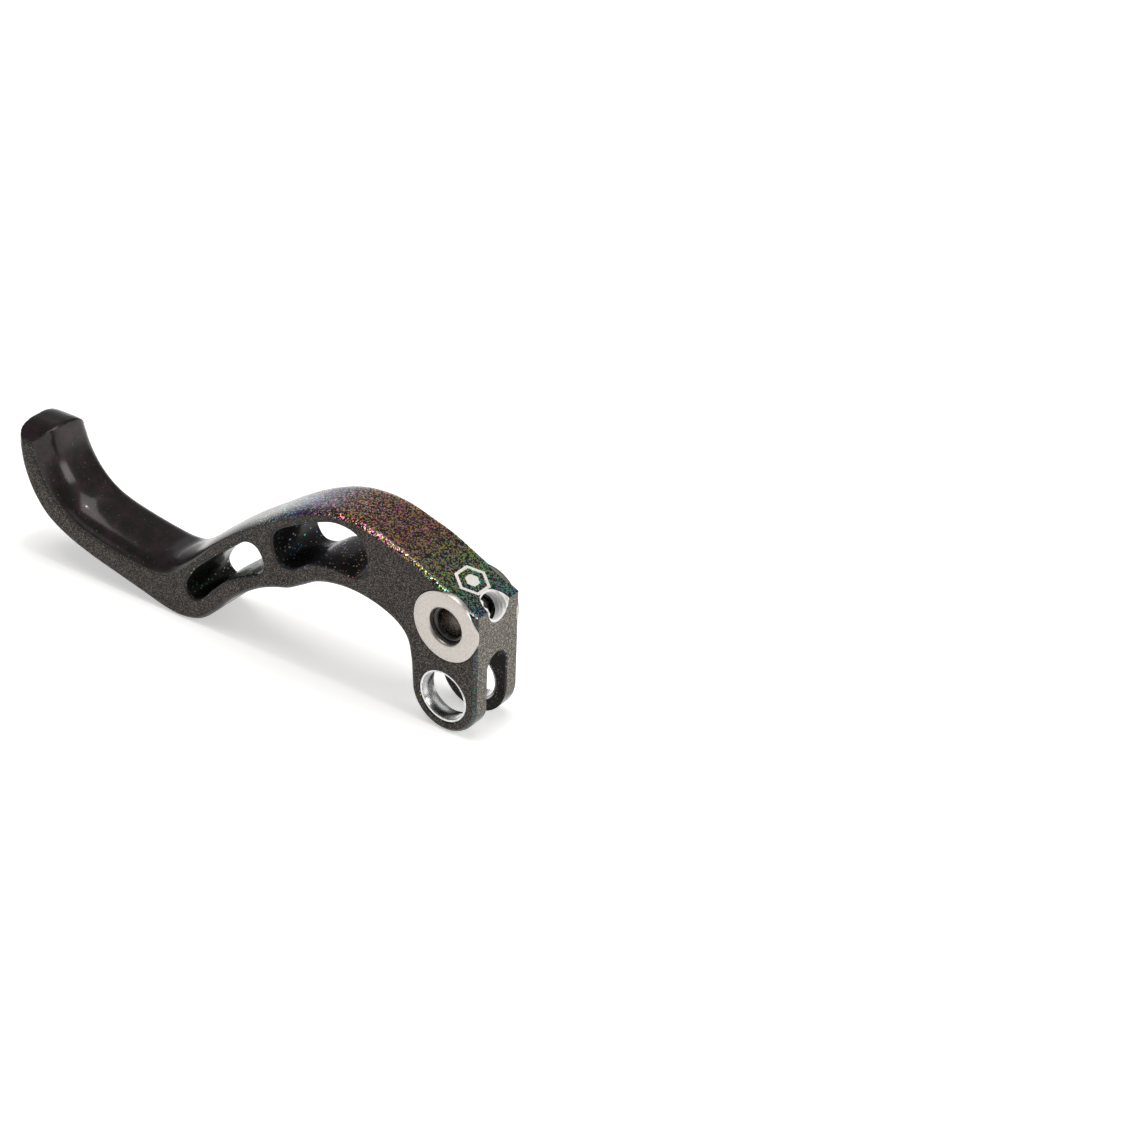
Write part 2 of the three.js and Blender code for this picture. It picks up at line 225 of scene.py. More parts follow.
paintSetup = {
    "base": (0.008, 0.0072, 0.0066, 1),
    # painted light: the side faces' flakes drawn in a dull silver-brown, a lit copy of the same paint
    "paintedSideLightTint": (0.22, 0.18, 0.15, 1),
    # painted light: the end face's flakes drawn brighter, as it is lit from that side
    "paintedEndLightTint": (0.46, 0.425, 0.36, 1),
    "sheen": (0.014, 0.012, 0.0105, 1),
    "flakeScale": 5200,
    "sideFlakeScale": 9000,
    "tilt": 0.62,           # how far a flake leans off the surface
    "ownHue": 0.42,         # how much of its hue a flake has of its own
    # painted reflection colours: glint hues laid in bands along the lever
    "paintedGlintSpan": (-0.062, 0.008),     # from the pivot, along the lever
    "paintedGlintHues": [
        (0.0, (0.06, 0.5, 0.3, 1)), (0.3, (0.1, 0.75, 0.25, 1)), (0.48, (0.06, 0.16, 0.9, 1)),
        (0.6, (0.95, 0.35, 0.12, 1)), (0.76, (1.0, 0.3, 0.08, 1)), (0.87, (0.45, 0.8, 0.15, 1)),
        (0.95, (0.1, 0.65, 0.5, 1)), (1.0, (0.12, 0.3, 1.0, 1)),
    ],
    # painted glints: flakes drawn thinner towards the pad
    "paintedGlintThinSpan": (-0.047, -0.015),   # where the flakes thin out towards the pad
    "paintedGlintThinChance": (0.978, 0.57),
    "mottleTint": (0.014, 0.012, 0.0105, 1),
    "coatTop": 0.65,
    "coatInner": 0.45,
    "coatSide": 0.08,
    "coatRoughness": 0.15,
    "coatIndex": 1.42,
}


def flakePaint(name="flakePaint", inner=False):
    material, tree, shader = newMaterial(name)
    place = objectPlace(tree)
    normal = addNode(tree, "ShaderNodeNewGeometry").outputs["Normal"]
    along = partsOf(tree, place)[0]
    facing = partsOf(tree, normal)
    pastPivot = ranged(tree, along, pivot.x + 0.003, pivot.x + 0.005)
    # faces looking along the lever past the pivot, the end face, get a brighter painted-light copy of the paint
    paintedEndMask = mathOf(tree, "MULTIPLY", ranged(tree, facing[0], 0.9, 0.985), pastPivot)
    # painted glints: flakes drawn mostly on faces turned up to the overhead light, few on faces turned down
    paintedGlintUpward = ranged(tree, facing[2], 0.05, 0.4, 0.12, 1.0)
    # faces turned sideways, and the end face, get a painted lit copy of the paint: other flake colour, speckle, base
    # and finish
    paintedSideMask = mathOf(tree, "MAXIMUM", ranged(tree, mathOf(tree, "ABSOLUTE", facing[1]), 0.9, 0.97), paintedEndMask)
    flakes = cellsOf(tree, place, paintSetup["flakeScale"])
    chance = colorParts(tree, flakes)
    sideFlakeChance = colorParts(tree, cellsOf(tree, place, paintSetup["sideFlakeScale"]))

    # painted reflection colours: the flake glint hues, which change with the angle of the light, drawn as bands along
    # the lever
    ramp = addNode(tree, "ShaderNodeValToRGB")
    low, high = (pivot.x + value for value in paintSetup["paintedGlintSpan"])
    span = addNode(tree, "ShaderNodeMapRange", inputs={"Value": along, "From Min": low, "From Max": high})
    tree.links.new(span.outputs["Result"], ramp.inputs[0])
    stops = paintSetup["paintedGlintHues"]
    elements = ramp.color_ramp.elements
    elements[0].position, elements[0].color = stops[0]
    elements[1].position, elements[1].color = stops[-1]
    for position, color in stops[1:-1]:
        elements.new(position).color = color
    anyHue = hueOf(tree, chance[0], 0.94, 1.0)
    flakeColor = mixColor(tree, paintSetup["ownHue"], ramp.outputs[0], anyHue)
    # painted side and end lighting: flakes there take this plain tint instead of their own glint hue
    paintedSideLightColor = mixColor(tree, paintedEndMask, paintSetup["paintedSideLightTint"], paintSetup["paintedEndLightTint"])
    flakeColor = mixColor(tree, paintedSideMask, flakeColor, paintedSideLightColor)

    # painted glints: flakes drawn dense on the spine near the clevis, where it catches the light, and sparse towards
    # the finger pad
    low, high = (pivot.x + value for value in paintSetup["paintedGlintThinSpan"])
    least = ranged(tree, along, low, high, *paintSetup["paintedGlintThinChance"])
    shown = ranged(tree, mathOf(tree, "SUBTRACT", chance[1], least), 0.0, 0.08)
    # painted glints: fewer flakes on faces turned down
    shown = mathOf(tree, "MULTIPLY", shown, paintedGlintUpward)
    # speckle on the side faces: fine flakes whose brightness is painted for how the sides are lit; the end face gets
    # extra as painted light
    shownSide = ranged(tree, sideFlakeChance[1], 0.62, 0.93, 0.0, 0.62)
    shownSide = mathOf(tree, "ADD", shownSide, mathOf(tree, "MULTIPLY", paintedEndMask, 0.14))
    shown = mixValue(tree, paintedSideMask, shown, shownSide)
    # painted shade: the cut walls of windows, slot and bores keep only a few flakes and no sheen
    if inner:
        shown = mathOf(tree, "MULTIPLY", ranged(tree, chance[1], 0.955, 0.97), 0.9)
    offset = vectorOf(tree, "SUBTRACT", flakes, (0.5, 0.5, 0.5))
    scaling = {0: offset, "Scale": mathOf(tree, "MULTIPLY", shown, paintSetup["tilt"])}
    offset = addNode(tree, "ShaderNodeVectorMath", {"operation": "SCALE"}, scaling).outputs[0]
    tilted = vectorOf(tree, "NORMALIZE", vectorOf(tree, "ADD", normal, offset))

    # a dark sheen under the clear coat, clouded with faint colour
    mottle = noiseOf(tree, place, 420.0, 4.0, 0.6)
    base = mixColor(tree, ranged(tree, mottle, 0.3, 0.7), paintSetup["base"], paintSetup["mottleTint"])
    if not inner:
        cloud = noiseOf(tree, place, 260.0, 3.0, 0.55)
        cloudHue = hueOf(tree, mathOf(tree, "MULTIPLY", cloud, 3.4), 0.6, 0.07)
        sheenColor = mixColor(tree, ranged(tree, mottle, 0.4, 0.7, 0.0, 0.35), paintSetup["sheen"], cloudHue)
        # the top faces take the sheen colour and the sides the plain base, a painted lit copy of one paint
        base = mixColor(tree, paintedSideMask, sheenColor, base)
    tree.links.new(mixColor(tree, shown, base, flakeColor), shader.inputs["Base Color"])
    topMetal = 0.0 if inner else mathOf(tree, "MULTIPLY", mathOf(tree, "SUBTRACT", 1.0, paintedSideMask), 0.45)
    tree.links.new(mixValue(tree, shown, topMetal, 0.95), shader.inputs["Metallic"])
    plainRough = mixValue(tree, paintedSideMask, 0.38, 0.55)
    tree.links.new(mixValue(tree, shown, plainRough, 0.3), shader.inputs["Roughness"])
    tree.links.new(tilted, shader.inputs["Normal"])
    coat = paintSetup["coatInner" if inner else "coatTop"]
    tree.links.new(mixValue(tree, paintedSideMask, coat, paintSetup["coatSide"]), shader.inputs["Coat Weight"])
    setSockets(shader, {"Coat Roughness": paintSetup["coatRoughness"], "Coat IOR": paintSetup["coatIndex"],
                        "Specular IOR Level": 0.14})
    return material


def turnedMetal(name, color, roughness, pitch=9000.0, strength=0.12, scratches=0.25, centre=None):
    material, tree, shader = newMaterial(name)
    place = objectPlace(tree)
    centre = centre or pivot
    fromAxis = vectorOf(tree, "SUBTRACT", place, tuple(centre))
    radius = lengthOf(tree, vectorOf(tree, "MULTIPLY", fromAxis, (1, 0, 1)))
    across = mathOf(tree, "ADD", radius, partsOf(tree, fromAxis)[1])
    turned = {"W": across, "Scale": pitch, "Detail": 3.0}
    grooves = addNode(tree, "ShaderNodeTexNoise", {"noise_dimensions": "1D"}, turned).outputs[0]
    speck = noiseOf(tree, place, 3200.0, 5.0, 0.7)
    cloud = noiseOf(tree, place, 500.0, 2.0)
    worn = tuple(channel * (1 - scratches) for channel in color[:3]) + (1,)
    dull = tuple(channel * 0.82 for channel in color[:3]) + (1,)
    shade = mixColor(tree, ranged(tree, speck, 0.35, 0.7), worn, color)
    shade = mixColor(tree, ranged(tree, cloud, 0.3, 0.75, 0.0, 0.35), shade, dull)
    tree.links.new(shade, shader.inputs["Base Color"])
    tree.links.new(mixValue(tree, speck, roughness * 0.75, roughness * 1.3), shader.inputs["Roughness"])
    height = mathOf(tree, "ADD", mathOf(tree, "MULTIPLY", grooves, 0.7), mathOf(tree, "MULTIPLY", speck, 0.3))
    addBump(tree, shader, strength, 0.00003, height)
    setSockets(shader, {"Metallic": 1.0, "Specular IOR Level": 0.5})
    return material


def threadMetal(name):
    material, tree, shader = newMaterial(name)
    place = objectPlace(tree)
    tilt = math.radians(lockSizes["angle"])
    fromAxis = vectorOf(tree, "SUBTRACT", place, tuple(pivot))
    radius = lengthOf(tree, vectorOf(tree, "CROSS_PRODUCT", fromAxis, (math.cos(tilt), 0, math.sin(tilt))))
    # painted shade: the thread roots are picked out by radius to be drawn near black
    paintedRootShade = ranged(tree, radius, (lockSizes["minor"] + 0.03) * mm, (lockSizes["minor"] + 0.24) * mm)
    grain = noiseOf(tree, place, 4200.0, 4.0)
    crest = mixColor(tree, grain, (0.42, 0.4, 0.385, 1), (0.66, 0.64, 0.62, 1))
    # painted shade in the thread grooves, under the bright crests
    tree.links.new(mixColor(tree, paintedRootShade, crest, (0.035, 0.03, 0.026, 1)), shader.inputs["Base Color"])
    tree.links.new(mixValue(tree, grain, 0.18, 0.34), shader.inputs["Roughness"])
    addBump(tree, shader, 0.1, 0.00002, grain)
    setSockets(shader, {"Metallic": 1.0})
    return material


def rubber(name):
    material, tree, shader = newMaterial(name)
    grain = noiseOf(tree, objectPlace(tree), 5200.0, 4.0)
    shade = mixColor(tree, grain, (0.012, 0.011, 0.0105, 1), (0.035, 0.033, 0.031, 1))
    tree.links.new(shade, shader.inputs["Base Color"])
    tree.links.new(mixValue(tree, grain, 0.16, 0.34), shader.inputs["Roughness"])
    addBump(tree, shader, 0.15, 0.00002, grain)
    return material


# Small helpers for shaping

def makeActive(piece):
    bpy.ops.object.select_all(action="DESELECT")
    piece.select_set(True)
    bpy.context.view_layer.objects.active = piece


def finishShape(piece, angle=32, weighted=False):
    makeActive(piece)
    bpy.ops.object.mode_set(mode="EDIT")
    bpy.ops.mesh.select_all(action="SELECT")
    bpy.ops.mesh.normals_make_consistent(inside=False)
    bpy.ops.object.mode_set(mode="OBJECT")
    bpy.ops.object.shade_smooth_by_angle(angle=math.radians(angle))
    if weighted:
        modifier = piece.modifiers.new("evenShade", "WEIGHTED_NORMAL")
        modifier.keep_sharp = True
        modifier.weight = 60
        bpy.ops.object.modifier_apply(modifier=modifier.name)


def turnShape(name, profile, steps=96, centre=None, solidPlug=False):
    centre = centre or pivot
    bpy.ops.object.select_all(action="DESELECT")
    start = profile[0]
    bpy.ops.mesh.primitive_circle_add(vertices=steps, radius=start[0] * mm, fill_type="NOTHING",
                                      location=(centre.x, start[1] * mm, centre.z), rotation=(math.pi / 2, 0, 0))
    piece = bpy.context.object
    piece.name = name
    bpy.ops.object.transform_apply(location=True, rotation=True, scale=True)
    bpy.ops.object.mode_set(mode="EDIT")
    bpy.ops.mesh.select_mode(type="EDGE")
    bpy.ops.mesh.select_all(action="SELECT")
    for (fromRadius, fromY), (toRadius, toY) in zip(profile, profile[1:]):
        bpy.ops.mesh.extrude_edges_move(TRANSFORM_OT_translate={"value": (0, (toY - fromY) * mm, 0)})
        share = toRadius / fromRadius
        if abs(share - 1) > 1e-9:
            bpy.ops.transform.resize(value=(share, 1, share), center_override=(centre.x, toY * mm, centre.z))
    bpy.ops.mesh.select_all(action="SELECT")
    if solidPlug:
        bpy.ops.mesh.fill_holes(sides=0)
    else:
        bpy.ops.mesh.region_to_loop()
        bpy.ops.mesh.bridge_edge_loops()
    bpy.ops.object.mode_set(mode="OBJECT")
    finishShape(piece)
    return piece


def toFrame(points):
    return [(pivot.x + x * mm, y * mm, pivot.z + z * mm) for x, y, z in points]


def loftShape(name, rings, capped=True, closed=False):
    steps = len(rings[0])
    vertices = [corner for ring in rings for corner in toFrame(ring)]
    faces = []
    spans = len(rings) if closed else len(rings) - 1
    for index in range(spans):
        a, b = index * steps, ((index + 1) % len(rings)) * steps
        for step in range(steps):
            after = (step + 1) % steps
            faces.append((a + step, a + after, b + after, b + step))
    if capped:
        faces.append(tuple(reversed(range(steps))))
        faces.append(tuple(range((len(rings) - 1) * steps, len(rings) * steps)))
    mesh = bpy.data.meshes.new(name)
    mesh.from_pydata(vertices, [], faces)
    piece = bpy.data.objects.new(name, mesh)
    bpy.context.scene.collection.objects.link(piece)
    makeActive(piece)
    bpy.ops.object.mode_set(mode="EDIT")
    bpy.ops.mesh.select_all(action="SELECT")
    bpy.ops.mesh.normals_make_consistent(inside=False)
    bpy.ops.object.mode_set(mode="OBJECT")
    return piece


def useCutter(piece, cutter, operation="DIFFERENCE"):
    makeActive(piece)
    modifier = piece.modifiers.new("cut", "BOOLEAN")
    modifier.operation = operation
    modifier.object = cutter
    modifier.solver = "EXACT"
    modifier.material_mode = "TRANSFER"
    bpy.ops.object.modifier_apply(modifier=modifier.name)
    bpy.data.objects.remove(cutter, do_unlink=True)


# The blade

bladeSizes = {
    "thickness": 10.5, "clevis": 6.0, "arm": 51.0, "pad": 27.0,
    "endReach": 5.85, "endLean": 3.2, "spineReach": 5.65, "spineSlope": 25.5, "rounding": 0.8,
    "earShift": 1.0, "earDrop": 12.8, "earRadius": 6.15, "earHole": 4.43,
    "slotWidth": 4.4, "slotCrown": 5.2,
    "tipHeight": 5.0, "tipAcross": 4.2, "tipDrop": 3.2,
    "samples": 9, "edgeSteps": 8, "middleSteps": 10,
    "windowRim": 0.42, "windowDraft": 0.3, "slotRim": 0.3,
}


def arm(share):
    return -bladeSizes["clevis"] - bladeSizes["arm"] * share


def pad(share):
    return -bladeSizes["clevis"] - bladeSizes["arm"] - bladeSizes["pad"] * share


def crossing(normalA, reachA, normalB, reachB):
    scale = normalA[0] * normalB[1] - normalA[1] * normalB[0]
    return np.array([(reachA * normalB[1] - reachB * normalA[1]) / scale,
                     (normalA[0] * reachB - normalB[0] * reachA) / scale])


lean = math.radians(bladeSizes["endLean"])
slope = math.radians(bladeSizes["spineSlope"])
endNormal = (math.cos(lean), -math.sin(lean))
spineNormal = (math.sin(slope), math.cos(slope))


def spineAt(x):
    return (bladeSizes["spineReach"] - spineNormal[0] * x) / spineNormal[1]


def even(x, z, rounding=None):
    size = rounding or bladeSizes["rounding"]
    return (x, z, size, size, size, size)


def fingerStations():
    return [
        even(-2, spineAt(-2)), even(-6, spineAt(-6)),
        (arm(0.08), 10.5, 1.0, 0.8, 1.0, 0.8), (arm(0.16), 11.7, 1.3, 0.8, 1.3, 0.8),
        (arm(0.24), 12.2, 1.7, 0.9, 1.7, 0.9),
        (arm(0.33), 11.8, 2.1, 0.9, 2.1, 0.9), (arm(0.42), 10.4, 2.4, 1.0, 2.4, 1.0),
        (arm(0.52), 7.9, 2.7, 1.0, 2.7, 1.0),
        (arm(0.62), 4.7, 2.9, 1.0, 2.9, 1.0), (arm(0.72), 1.4, 3.0, 1.1, 3.0, 1.1),
        (arm(0.82), -2.4, 3.2, 1.2, 2.8, 1.2),
        (arm(0.91), -6.2, 3.5, 1.7, 2.4, 1.3), (arm(1), -9.3, 3.9, 2.5, 2.0, 1.3),
        (pad(0.122), -10.05, 4.1, 3.0, 1.7, 1.3),
        (pad(0.248), -9.9, 4.2, 3.1, 1.5, 1.3), (pad(0.447), -9.1, 4.2, 3.2, 1.5, 1.3),
        (pad(0.625), -8.1, 4.2, 3.2, 1.5, 1.3),
        (pad(0.752), -6.85, 4.2, 3.3, 1.5, 1.3), (pad(0.852), -4.7, 4.1, 3.4, 1.6, 1.4),
        (pad(0.925), -1.85, 4.0, 3.5, 1.7, 1.5),
        (pad(0.967), 1.2, 3.8, 3.5, 1.8, 1.6), (pad(0.98), 4.2, 3.6, 3.4, 1.8, 1.7),
        (pad(0.985), 7.5, 3.4, 3.3, 1.8, 1.7),
    ]


def barStations():
    earX, earZ, reach = -bladeSizes["earShift"], -bladeSizes["earDrop"], bladeSizes["earRadius"]
    return [
        even(pad(1.2), 7.5, 2), even(pad(1.212), 4, 2), even(pad(1.212), 0.75, 1.8),
        even(pad(1.185), -2.9, 1.4), even(pad(1.12), -6.9, 1.1),
        even(pad(1.012), -10.3), even(pad(0.858), -12.75), even(pad(0.665), -14.6),
        even(pad(0.445), -16.1), even(pad(0.225), -17.55),
        even(pad(0.073), -18.6), even(arm(0.965), -18.95), even(arm(0.885), -18),
        even(arm(0.815), -15.3), even(arm(0.755), -12.2),
        even(arm(0.69), -9.6), even(arm(0.624), -7.5), even(arm(0.56), -6.1),
        even(arm(0.5), -5.1), even(arm(0.443), -3.5),
        even(arm(0.38), -1.75), even(arm(0.305), -0.8), even(arm(0.225), -0.65),
        even(arm(0.147), -1.35), even(arm(0.078), -2.8),
        even(earX - reach - 0.75, -4.9), even(earX - reach - 0.1, -8), even(earX - reach, earZ + 2),
    ]


def windowOutlines():
    rear = [(0.175, 6.8), (0.182, 3.8), (0.22, 2.25), (0.305, 2.3),
            (0.392, 1.55), (0.47, -0.75), (0.518, -0.8), (0.545, 1.6),
            (0.535, 4.3), (0.46, 6.8), (0.365, 9.1), (0.285, 10.3), (0.208, 9.6)]
    front = [(0.593, -2.3), (0.606, -4.1), (0.676, -6.0), (0.751, -8.2),
             (0.816, -11.1), (0.87, -13.8), (0.906, -14.2), (0.929, -12.6),
             (0.894, -9.3), (0.812, -5.4), (0.73, -2.1), (0.66, 0.4), (0.618, 0.2)]
    return [[(arm(share), z) for share, z in shape] for shape in (rear, front)]


def smoothThrough(stations, samples):
    points = np.array(stations, float)
    count = len(points)
    result = []
    for index in range((count - 1) * samples + 1):
        place = index / samples
        first = min(int(place), count - 2)
        t = place - first
        nearby = (max(first - 1, 0), first, first + 1, min(first + 2, count - 1))
        before, here, after, beyond = (points[entry] for entry in nearby)
        slopeHere, slopeAfter = (after - before) / 2, (beyond - here) / 2
        cubic = 2 * here - 2 * after + slopeHere + slopeAfter
        square = 3 * after - 3 * here - 2 * slopeHere - slopeAfter
        point = cubic * t ** 3 + square * t ** 2 + slopeHere * t + here
        point[2:] = here[2:] * (1 - t) + after[2:] * t
        result.append(point)
    return result


def smoothLoop(corners, samples):
    points = np.array(corners, float)
    count = len(points)
    result = []
    for index in range(count):
        p0, p1, p2, p3 = (points[(index + shift) % count] for shift in (-1, 0, 1, 2))
        d0, d1, d2 = (max(np.linalg.norm(b - a) ** 0.5, 1e-6) for a, b in ((p0, p1), (p1, p2), (p2, p3)))
        slopeHere = ((p1 - p0) / d0 - (p2 - p0) / (d0 + d1) + (p2 - p1) / d1) * d1
        slopeAfter = ((p2 - p1) / d1 - (p3 - p1) / (d1 + d2) + (p3 - p2) / d2) * d1
        square = -3 * p1 + 3 * p2 - 2 * slopeHere - slopeAfter
        cubic = 2 * p1 - 2 * p2 + slopeHere + slopeAfter
        for step in range(samples):
            t = step / samples
            result.append(p1 + slopeHere * t + square * t ** 2 + cubic * t ** 3)
    return np.array(result)


def unit(vector):
    return vector / max(np.linalg.norm(vector), 1e-12)


def bladeOutline():
    samples = bladeSizes["samples"]
    corner = crossing(endNormal, bladeSizes["endReach"], spineNormal, bladeSizes["spineReach"])
    points = [np.array(even(*corner))]
    marks = ["corner"]
    finger = smoothThrough(fingerStations(), samples)
    bar = smoothThrough(barStations(), samples)
    points += finger
    marks += [""] * (len(finger) - 1) + ["squareAfter"]
    points += bar
    marks += ["squareBefore"] + [""] * (len(bar) - 1)
    arcSteps = 48
    for step in range(arcSteps + 1):
        angle = math.pi + (math.pi - lean) * step / arcSteps
        reach = bladeSizes["earRadius"]
        points.append(np.array(even(-bladeSizes["earShift"] + reach * math.cos(angle),
                                    -bladeSizes["earDrop"] + reach * math.sin(angle))))
        marks.append("")
    return points, marks


def makeBlank():
    points, marks = bladeOutline()
    count = len(points)
    half = bladeSizes["thickness"] / 2
    edge, middle = bladeSizes["edgeSteps"], bladeSizes["middleSteps"]
    rings = []
    for index, here in enumerate(points):
        before, after = points[index - 1][:2], points[(index + 1) % count][:2]
        inBefore, inAfter = (unit(np.array([a[1] - b[1], b[0] - a[0]]))
                             for a, b in ((before, here[:2]), (here[:2], after)))

        def insetBy(deep):
            if marks[index]:
                deepBefore = 0 if marks[index] == "squareBefore" else deep
                deepAfter = 0 if marks[index] == "squareAfter" else deep
                return crossing(inBefore, deepBefore, inAfter, deepAfter)
            return unit(inBefore + inAfter) * deep

        low, high = here[2] - half, half - here[4]
        centre = (low + high) / 2
        # the edge is slightly domed where it is well rounded
        crown = 0.12 * max(0.0, here[2] - bladeSizes["rounding"])
        column = []
        for side, across, deep in ((-1, here[2], here[3]), (1, here[4], here[5])):
            rows = []
            for step in range(edge + 1):
                angle = math.pi / 2 * step / edge
                y = side * (half - across * (1 - math.cos(angle)))
                dome = crown * ((y - centre) / (half + abs(centre))) ** 2
                shift = insetBy(max(deep - crown, 0.6) * (1 - math.sin(angle)) + dome)
                rows.append((here[0] + shift[0], y, here[1] + shift[1]))
            column.append(rows)
        between = []
        for step in range(1, middle):
            y = low + (high - low) * step / middle
            shift = insetBy(crown * ((y - centre) / (half + abs(centre))) ** 2)
            between.append((here[0] + shift[0], y, here[1] + shift[1]))
        rings.append(column[0] + between + column[1][::-1])
    rows = len(rings[0])
    loops = [[rings[column][row] for column in range(count)] for row in range(rows)]
    return loftShape("leverBlade", loops)


def windowCutter(corners):
    loop = smoothLoop(corners, 12)
    ahead, behind = np.roll(loop, -1, 0), np.roll(loop, 1, 0)
    tangent = ahead - behind
    tangent /= np.linalg.norm(tangent, axis=1)[:, None]
    outward = np.stack([tangent[:, 1], -tangent[:, 0]], 1)
    area = np.sum(loop[:, 0] * ahead[:, 1] - ahead[:, 0] * loop[:, 1])
    outward *= 1 if area > 0 else -1
    half, rim, draft = bladeSizes["thickness"] / 2, bladeSizes["windowRim"], bladeSizes["windowDraft"]
    levels = [(0.0, -draft)]
    for step in range(0, 7):
        angle = math.pi / 2 * step / 6
        levels.append((half - rim * (1 - math.sin(angle)), rim * (1 - math.cos(angle))))
    levels.append((half + 0.6, rim + 0.05))
    levels = [(-y, shift) for y, shift in reversed(levels[1:])] + levels
    rings = []
    for y, shift in levels:
        ring = loop + outward * shift
        rings.append([(x, y, z) for x, z in ring])
    return loftShape("windowCutter", rings)


def slotCutter():
    half = bladeSizes["slotWidth"] / 2
    crown = -bladeSizes["slotCrown"] - half
    floor = -bladeSizes["earDrop"] - bladeSizes["earRadius"] - 2
    turns = [math.pi * step / 28 for step in range(29)]
    section = [(-half, floor), (half, floor)]
    section += [(half * math.cos(angle), crown + half * math.sin(angle)) for angle in turns]

    def ring(depth, grow):
        points = []
        for y, z in section:
            if z < crown:
                grown = (y + math.copysign(grow, y), z)
            else:
                away = unit(np.array([y, z - crown]))
                grown = (y + away[0] * grow, z + away[1] * grow)
            surface = (bladeSizes["endReach"] - endNormal[1] * grown[1]) / endNormal[0]
            points.append((surface - depth, grown[0], grown[1]))
        return points

    rim = bladeSizes["slotRim"]
    rings = [ring(22, 0)]
    for step in range(7):
        angle = math.pi / 2 * step / 6
        rings.append(ring(rim * (1 - math.sin(angle)), rim * (1 - math.cos(angle))))
    rings.append(ring(-1.5, rim + 0.02))
    return loftShape("slotCutter", rings)


def tipCutter():
    half = bladeSizes["thickness"] / 2
    low, top = bladeSizes["tipHeight"] - bladeSizes["tipDrop"], bladeSizes["tipHeight"]
    across = bladeSizes["tipAcross"]
    arch = []
    for step in range(17):
        angle = math.pi - math.pi / 2 * step / 16
        arch.append((-(half - across) + across * math.cos(angle), low + bladeSizes["tipDrop"] * math.sin(angle)))
    arch += [(-(half - across) + 2 * (half - across) * step / 6, top) for step in range(1, 6)]
    for step in range(17):
        angle = math.pi / 2 - math.pi / 2 * step / 16
        arch.append((half - across + across * math.cos(angle), low + bladeSizes["tipDrop"] * math.sin(angle)))
    section = [(-half - 2, low), *arch, (half + 2, low), (half + 2, 20), (-half - 2, 20)]
    places = np.linspace(pad(1) - 9, pad(1) + 5, 57)
    rings = [[(x, y, z) for y, z in section] for x in places]
    return loftShape("tipCutter", rings)


def softenTip(piece):
    makeActive(piece)
    bpy.ops.object.mode_set(mode="OBJECT")
    top = pivot.z + (bladeSizes["tipHeight"] - bladeSizes["tipDrop"]) * mm
    mesh = piece.data
    bpy.ops.object.mode_set(mode="EDIT")
    bpy.ops.mesh.select_mode(type="EDGE")
    bpy.ops.mesh.select_all(action="DESELECT")
    bpy.ops.mesh.edges_select_sharp(sharpness=math.radians(28))
    bpy.ops.object.mode_set(mode="OBJECT")
    sharp = np.zeros(len(mesh.edges), bool)
    mesh.edges.foreach_get("select", sharp)
    places = np.zeros(len(mesh.vertices) * 3)
    mesh.vertices.foreach_get("co", places)
    places = places.reshape(-1, 3)
    ends = np.zeros(len(mesh.edges) * 2, int)
    mesh.edges.foreach_get("vertices", ends)
    rim = np.unique(ends.reshape(-1, 2)[sharp])
    rim = rim[(places[rim, 2] > top - 0.0008) & (places[rim, 0] < pivot.x + pad(0.6) * mm)]
    rimPlaces = places[rim]
    near = np.zeros(len(mesh.vertices), bool)
    area = np.where((places[:, 2] > top - 0.003) & (places[:, 0] < pivot.x + pad(0.6) * mm))[0]
    for index in area:
        near[index] = np.min(np.linalg.norm(rimPlaces - places[index], axis=1)) < 0.00105
    bpy.ops.object.mode_set(mode="EDIT")
    bpy.ops.mesh.select_mode(type="VERT")
    bpy.ops.mesh.select_all(action="DESELECT")
    bpy.ops.object.mode_set(mode="OBJECT")
    mesh.vertices.foreach_set("select", near)
    bpy.ops.object.mode_set(mode="EDIT")
    bpy.ops.mesh.vertices_smooth(factor=0.5, repeat=14)
    bpy.ops.object.mode_set(mode="OBJECT")


pivotSizes = {
    "flange": 5.9, "flangeThick": 1.0, "farDeeper": 0.1, "farSmaller": 0.2, "pressGap": 0.03,
    "bush": 4.3, "bushInnerEnd": 2.65, "seatEnd": 2.6, "middleBore": 3.25,
    "mouth": 3.0, "mouthFlare": 0.42, "grooveInner": 3.35, "grooveOuter": 4.45, "grooveRadius": 3.35, "run": 3.03,
    "sealRadius": 2.8, "sealSection": 0.476, "sealPlace": 3.9, "sleeveOuter": 3.0, "sleeveBore": 2.5, "sleeveEnd": 3.3,
}
lockSizes = {"angle": 30, "minor": 2.1, "major": 2.46, "outer": 2.5, "pitch": 0.8, "start": 3.45, "end": 7.4}


def pivotCutter():
    sizes = pivotSizes
    seat = faceOut - sizes["flangeThick"]
    flange, bush = sizes["flange"] + sizes["pressGap"], sizes["bush"] + sizes["pressGap"]
    half = bladeSizes["thickness"] / 2
    innerEnd = sizes["seatEnd"]
    side = [(sizes["middleBore"], innerEnd), (bush, innerEnd), (bush, seat), (flange, seat), (flange, half - 0.12),
            (flange + 0.12, half), (flange + 0.12, 8)]
    return turnShape("pivotCutter", [(r, -y) for r, y in reversed(side)] + side, 128, solidPlug=True)


def earCutter():
    half, slot, radius = bladeSizes["thickness"] / 2, bladeSizes["slotWidth"] / 2, bladeSizes["earHole"]
    side = [(radius, slot + 0.1), (radius, half - 0.2), (radius + 0.05, half - 0.1), (radius + 0.2, half),
            (radius + 0.2, 8)]
    return turnShape("earCutter", [(r, -y) for r, y in reversed(side)] + side, 112, centre=ear, solidPlug=True)


def lockPlace(along, radius, angle):
    tilt = math.radians(lockSizes["angle"])
    axis = np.array([math.cos(tilt), 0, math.sin(tilt)])
    up = np.array([-math.sin(tilt), 0, math.cos(tilt)])
    return tuple(axis * along + radius * (math.cos(angle) * up + math.sin(angle) * np.array([0, 1, 0])))


